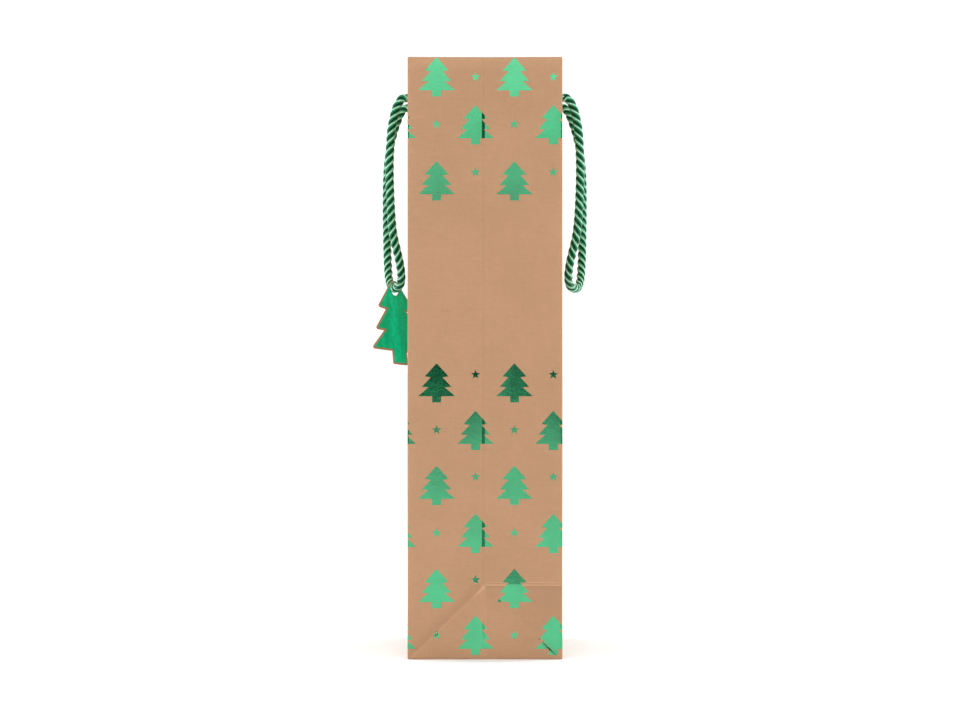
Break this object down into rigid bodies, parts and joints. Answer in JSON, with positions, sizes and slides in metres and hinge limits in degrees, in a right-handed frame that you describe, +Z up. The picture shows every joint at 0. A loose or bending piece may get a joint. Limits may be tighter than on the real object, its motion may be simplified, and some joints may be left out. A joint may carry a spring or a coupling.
{
  "type": "wine gift bag",
  "caption": "Tall kraft paper gift bag for a wine bottle, with foil fir trees and stars, twisted cord handles and a tree-shaped tag.",
  "frame": {"origin": "centre of the base, on the surface that the bag stands on", "axes": "+Z up along the bag's height; -Y towards the front panel, whose cord carries the tag; +X and -X out of the two gussets"},
  "size_m": [0.12, 0.1293, 0.35],
  "materials": {
    "kraft_paper": "matt brown kraft paper, printed outer side",
    "kraft_inside": "matt brown kraft paper, plain inner side",
    "green_foil": "green hot-stamped metallic foil",
    "stiffener_board": "raw greyboard",
    "satin_cord": "green satin three-strand twist",
    "tag_card": "kraft card with a foil face"
  },
  "bodies": {
    "bag": {"front_panel": "kraft_paper", "back_panel": "kraft_paper", "left_gusset": "kraft_paper", "right_gusset": "kraft_paper", "front_base_flap": "kraft_paper", "back_base_flap": "kraft_paper", "left_base_tuck": "kraft_paper", "right_base_tuck": "kraft_paper", "seam_flap": "kraft_inside", "front_hem": "kraft_inside", "back_hem": "kraft_inside", "left_hem": "kraft_inside", "right_hem": "kraft_inside", "front_top_board": "stiffener_board", "back_top_board": "stiffener_board", "base_board": "stiffener_board", "front_left_knot": "satin_cord", "front_right_knot": "satin_cord", "back_left_knot": "satin_cord", "back_right_knot": "satin_cord"},
    "front_handle": {"front_cord": "satin_cord"},
    "back_handle": {"back_cord": "satin_cord"},
    "hang_tag": {"tag": "tag_card"}
  },
  "joints": [
    {"name": "front_handle_swing", "type": "hinge", "parent": "bag", "child": "front_handle", "pos_m": [0, -0.0485, 0.329], "axis": [-1, 0, 0], "range_deg": [0, 135]},
    {"name": "back_handle_swing", "type": "hinge", "parent": "bag", "child": "back_handle", "pos_m": [0, 0.0485, 0.329], "axis": [1, 0, 0], "range_deg": [0, 135]},
    {"name": "tag_swing", "type": "hinge", "parent": "front_handle", "child": "hang_tag", "pos_m": [0, -0.0546, 0.217], "axis": [-0.9407, -0.3387, 0.0188], "range_deg": [0, 150]}
  ]
}
